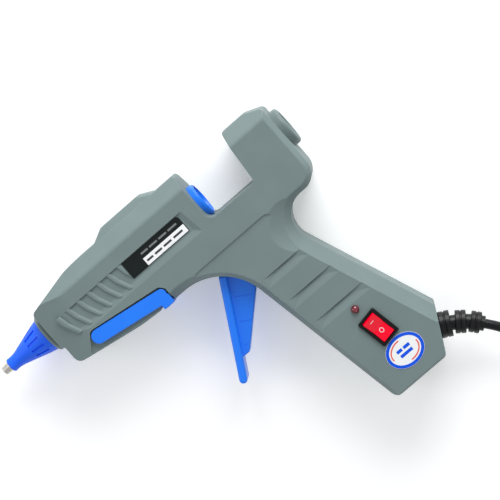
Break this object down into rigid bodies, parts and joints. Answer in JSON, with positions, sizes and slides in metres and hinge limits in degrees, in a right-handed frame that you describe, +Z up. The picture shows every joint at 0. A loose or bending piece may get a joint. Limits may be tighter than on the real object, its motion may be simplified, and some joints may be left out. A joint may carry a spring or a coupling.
{
  "type": "hot glue gun",
  "caption": "Corded hot glue gun with a trigger feed, folding wire-style stand, rocker switch, lamp and open gap for loading glue sticks.",
  "frame": {"origin": "on the surface, under the middle of the gun lying on its right side", "axes": "+X back along the barrel from the nozzle, +Y to the top of the barrel with the grip towards -Y, +Z up, to the left side"},
  "size_m": [0.2834, 0.2276, 0.0382],
  "materials": {
    "housing_plastic": "fine matt grain, mid grey",
    "blue_plastic": "satin blue",
    "blue_silicone": "matt blue silicone",
    "grey_collar": "matt grey",
    "nozzle_metal": "turned, slightly tarnished",
    "cast_aluminium": "as cast",
    "insulation": "amber film",
    "heater_ceramic": "dark ceramic",
    "brass": "stamped",
    "clear_silicone": "translucent silicone",
    "steel": "zinc plated",
    "phenolic": "brown phenolic",
    "black_plastic": "black, slightly glossy",
    "red_plastic": "translucent red",
    "lamp_red": "dark red lens",
    "board": "green board",
    "plate_black": "printed black",
    "plate_white": "printed white",
    "sticker": "printed sticker",
    "cord_black": "soft black sheath",
    "wire_blue": "insulation",
    "wire_brown": "insulation",
    "strap": "woven strap"
  },
  "bodies": {
    "housing": {"chamber_supports": "phenolic", "clamp_screws": "steel", "coil_tie": "strap", "cord_clamp": "black_plastic", "cord_coil": "cord_black", "cord_tail": "cord_black", "front_collar": "grey_collar", "heater_electrodes": "brass", "heater_element": "heater_ceramic", "heater_insulation": "insulation", "heater_wire": "wire_brown", "housing_screws": "steel", "inlet_sleeve": "clear_silicone", "inspection_sticker": "sticker", "led_board": "board", "led_lens": "lamp_red", "left_shell": "housing_plastic", "live_wire": "wire_brown", "melt_chamber": "cast_aluminium", "neutral_wire": "wire_blue", "nozzle_cover": "blue_silicone", "nozzle_tip": "nozzle_metal", "plug_blades": "brass", "plug_body": "black_plastic", "power_cord": "cord_black", "rating_plate": "plate_black", "rating_strip": "plate_white", "rear_guide": "grey_collar", "return_spring": "steel", "right_shell": "housing_plastic", "sleeve_clamp": "steel", "strain_relief": "cord_black", "switch_housing": "black_plastic", "switch_terminals": "brass", "trigger_pin": "steel"},
    "trigger": {"trigger": "blue_plastic"},
    "carriage": {"carriage": "blue_plastic", "carriage_pin": "steel", "jaw_pin": "steel"},
    "jaw": {"grip_jaw": "blue_plastic"},
    "rocker": {"rocker_switch": "red_plastic"},
    "stand": {"stand": "blue_plastic"}
  },
  "joints": [
    {"name": "trigger_pull", "type": "hinge", "parent": "housing", "child": "trigger", "pos_m": [0.023, 0.0275, 0.018], "axis": [0, 0, 1], "range_deg": [0, 24], "stiffness_Nm_per_rad": 0.25, "springref_deg": -11.46},
    {"name": "carriage_feed", "type": "slide", "parent": "housing", "child": "carriage", "axis": [-1, 0, 0], "range_m": [0, 0.00621], "deforming": ["return_spring"]},
    {"name": "jaw_bite", "type": "hinge", "parent": "carriage", "child": "jaw", "pos_m": [0.0274, 0.0639, 0.018], "axis": [0, 0, 1], "range_deg": [0, 5]},
    {"name": "rocker_press", "type": "hinge", "parent": "housing", "child": "rocker", "pos_m": [0.05968, -0.0438, 0.0346], "axis": [0.9829, 0.184, 0], "range_deg": [-14, 0]},
    {"name": "stand_swing", "type": "hinge", "parent": "housing", "child": "stand", "pos_m": [-0.0409, 0.0376, 0.018], "axis": [0, 0, 1], "range_deg": [-95, 0]}
  ],
  "couplings": [
    {"joint": "carriage_feed", "follows": "trigger_pull", "m_per_rad": 0.014817},
    {"joint": "jaw_bite", "follows": "trigger_pull", "ratio": 0.20833}
  ]
}
